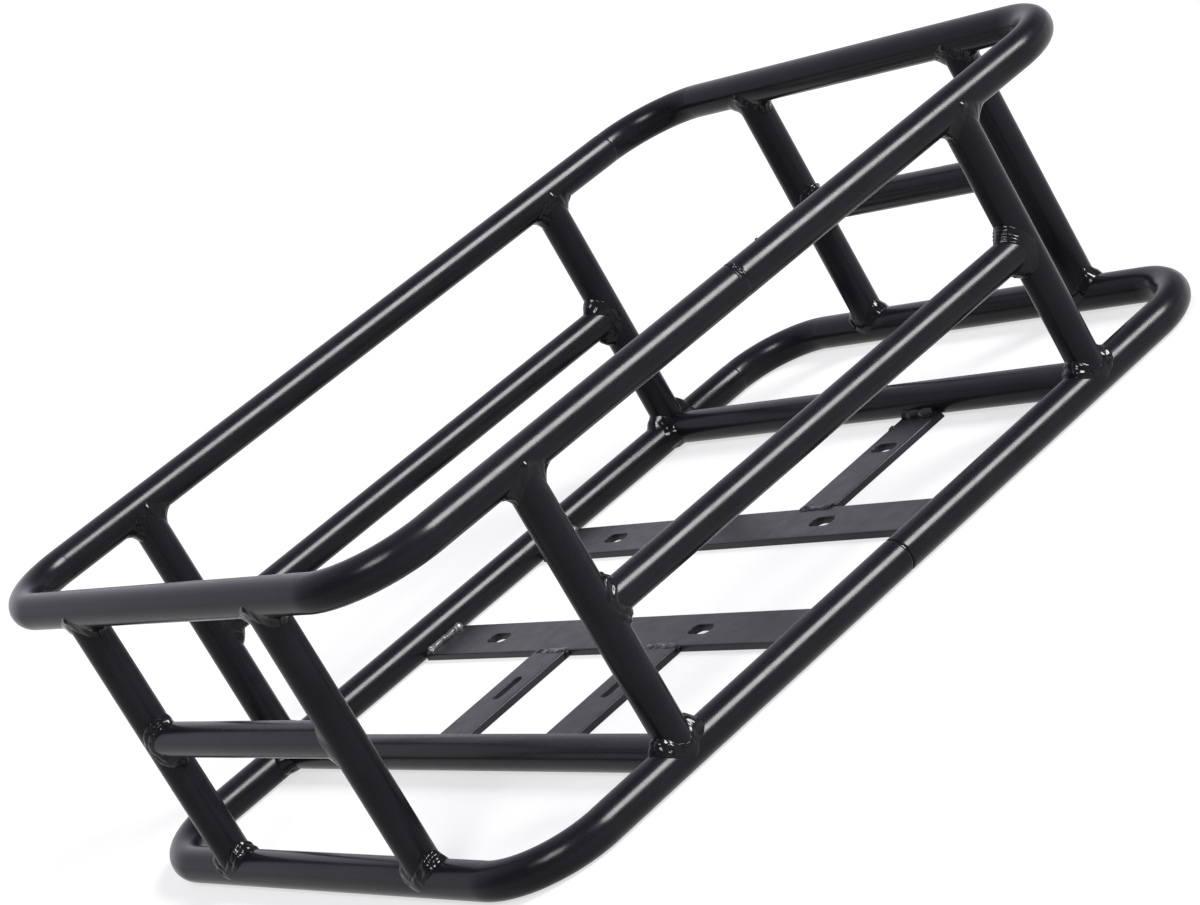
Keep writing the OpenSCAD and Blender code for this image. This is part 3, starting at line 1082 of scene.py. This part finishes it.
# sizes from the frame
ring_lo, ring_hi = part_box("bottom_ring")
ring_r = (ring_hi.z - ring_lo.z) / 2
half_x, half_y = ring_hi.x - ring_r, ring_hi.y - ring_r
low_z = box_middle("bottom_ring").z
top_z = box_middle("top_ring").z
post_lo, post_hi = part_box("post_left_front")
post_r = (post_hi.x - post_lo.x) / 2
cross_lo, cross_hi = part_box("cross_tube_rear")
cross_r = (cross_hi.y - cross_lo.y) / 2
cross_y = (cross_lo.y + cross_hi.y) / 2
strap_lo, strap_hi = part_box("cross_strap_rear")
strap_t = strap_hi.z - strap_lo.z
strap_half = (strap_hi.y - strap_lo.y) / 2
proud = Vector((BEAD_PROUD, BEAD_PROUD, 0))
outline = ring_lo - proud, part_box("top_ring")[1] + proud

# rings, and the welds of their seams
for which, seam in SEAMS.items():
    middle = box_middle(f"weld_{which}_seam")
    path = RingPath(half_x, half_y, middle.z, middle.y)
    bent_ring(f"{which}_ring", path, ring_r, seam, ring_coat)
    middle.x = half_x
    seam_weld(f"weld_{which}_seam", middle, ring_r, seam, weld_coat)

# posts
posts = {}
for node in sorted(n for n in frame["nodes"] if n.startswith("post_")):
    middle = box_middle(node)
    host_way = ALONG if node.startswith(("post_left", "post_right")) else ACROSS
    posts[node] = Branch(
        (middle.x, middle.y, low_z), (middle.x, middle.y, top_z), post_r, ring_r, host_way)

# side rails, between the posts of each side
side_rails = {}
along, across = ALONG * box_middle("post_left_rear").y, ACROSS * box_middle("post_front_right").x
for side, reach in (("left", along), ("right", along), ("front", across), ("rear", across)):
    lo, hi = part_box("side_rail_" + side)
    middle, radius = (lo + hi) / 2, (hi.z - lo.z) / 2
    side_rails["side_rail_" + side] = Branch(middle - reach, middle + reach, radius, post_r, UP)

# cross tubes
cross_tubes = {}
for node, y in (("cross_tube_front", -cross_y), ("cross_tube_rear", cross_y)):
    cross_tubes[node] = Branch((-half_x, y, low_z), (half_x, y, low_z), cross_r, ring_r, ALONG)

for node, branch in (posts | side_rails | cross_tubes).items():
    coped_tube(node, branch, tube_coat)

# floor straps
mounts = {m["name"]: m for m in frame["record"]["mounts"]}
slot_dims = mounts["cross_strap_slots"]["dims"]
slot_length = slot_dims["slot_length_mm"] * MM
slot_width = 2 * slot_dims["hole_r_mm"] * MM
slot_spacing = slot_dims["spacing_x_mm"] * MM
slot_x = mounts["cross_strap_slots"]["pos_m"][0]
front_slot_y = mounts["front_strap_slots"]["pos_m"][1]
rear_slot_y = mounts["rear_strap_slots"]["pos_m"][1]

for node in ("cross_strap_front", "cross_strap_rear"):
    slots = [Slot(slot_x + side * slot_spacing / 2, slot_length, slot_width, True)
             for side in (-1, 1)]
    host = Host(half_x, low_z, ring_r)
    strap = Strap(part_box(node), True, slots, host, fits_start=True, fits_end=True)
    strap.piece(node, strap_coat)

front_slot = Slot(front_slot_y, FRONT_SLOT_LENGTH, FRONT_SLOT_WIDTH, True)
rear_slot = Slot(rear_slot_y, slot_length, slot_width, False)
for end in ("front", "rear"):
    rear = end == "rear"
    for side in ("left", "right"):
        node = f"long_strap_{end}_{side}"
        slots = [rear_slot if rear else front_slot]
        host = Host(cross_y, low_z, cross_r)
        strap = Strap(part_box(node), False, slots, host, fits_start=not rear, fits_end=rear)
        strap.piece(node, strap_coat)

# welds of the tube joints
for group, branches, ends in (
        ("welds_posts_bottom", posts, (False,)),
        ("welds_posts_top", posts, (True,)),
        ("welds_side_rails", side_rails, (False, True)),
        ("welds_cross_tubes", cross_tubes, (False, True))):
    shell = Shell()
    for k, (node, branch) in enumerate(branches.items()):
        for at_end in ends:
            seed = SEED + JOINT_SEED_STEP * k + END_SEED_STEP * at_end
            add_joint_bead(shell, branch, at_end, seed, joint_style(group, node, at_end), outline)
    if group == "welds_posts_top":
        lean = Vector((-math.sin(SPATTER_LEAN), 0, math.cos(SPATTER_LEAN)))
        spatter_place = Vector((half_x, SPATTER_Y, top_z)) + lean * ring_r
        add_lump(shell, spatter_place, lean, SPATTER_SIZE, SEED)
    shell.piece(group, "weld", weld_coat)

QUARTERS = ((-1, -1), (-1, 1), (1, -1), (1, 1))  # signs of x and y
strap_width = 2 * strap_half
on_strap = onto_level(strap_t)

# welds of the cross straps' ends, in the corner between strap and ring
shell = Shell()
corner = chord_half(ring_r, low_z - strap_t)
for k, (sx, sy) in enumerate(QUARTERS):
    y = sy * box_middle("cross_strap_rear").y
    normals = UP, Vector((-sx * corner, 0, strap_t - low_z)).normalized()
    presses = on_strap, onto_tube(Vector((sx * half_x, y, low_z)), ALONG, ring_r)
    middle = Vector((sx * (half_x - corner), y, strap_t))
    seed = SEED + STRAP_END_SEED_STEP * k
    add_straight_bead(shell, middle, ALONG, strap_width, normals, presses, seed, STRAP_END_BEAD)
    lean = (normals[0] + normals[1]).normalized()
    lump_place = middle + ALONG * (strap_half - END_LUMP) + lean * END_LUMP_RISE
    add_lump(shell, lump_place, lean, END_LUMP, SEED + k)
shell.piece("welds_cross_straps", "weld", sheen_painted_weld_coat)

# welds of the lengthwise straps, at the cross tubes and at the cross straps
shell = Shell()
corner = chord_half(cross_r, low_z - strap_t)
strap_x = box_middle("long_strap_rear_right").x
for k, (sx, sy) in enumerate(QUARTERS):
    normals = UP, Vector((0, -sy * corner, strap_t - low_z)).normalized()
    presses = on_strap, onto_tube(Vector((0, sy * cross_y, low_z)), ACROSS, cross_r)
    middle = Vector((sx * strap_x, sy * (cross_y - corner), strap_t))
    seed = SEED + TUBE_STRAP_SEED_STEP * k
    add_straight_bead(shell, middle, ACROSS, strap_width, normals, presses, seed, TUBE_STRAP_BEAD)

    normals = [Vector((0, tilt, 1)).normalized() for tilt in (-sy * BUTT_TILT, sy * BUTT_TILT)]
    middle = Vector((sx * strap_x, sy * strap_hi.y, strap_t))
    seed = SEED + BUTT_SEED_STEP * k
    style = REAR_BUTT_BEAD if sy > 0 else FRONT_BUTT_BEAD
    add_straight_bead(
        shell, middle, ACROSS, strap_width, normals, (on_strap, on_strap), seed, style)
    lump_place = middle + Vector((strap_half, CORNER_LUMP_SHIFT * sy, -0.4 * strap_t))
    add_lump(shell, lump_place, Vector((0.6, 0.7 * sy, 0.4)).normalized(), CORNER_LUMP, SEED + k)
lump_y = rear_slot_y + EDGE_LUMP_PLACE * (cross_lo.y - rear_slot_y)
lump_place = Vector((strap_x - strap_half + EDGE_LUMP / 2, lump_y, strap_t - EDGE_LUMP / 2))
add_lump(shell, lump_place, Vector((-0.6, 0, 0.8)), EDGE_LUMP, SEED)
shell.piece("welds_long_straps", "weld", weld_coat)
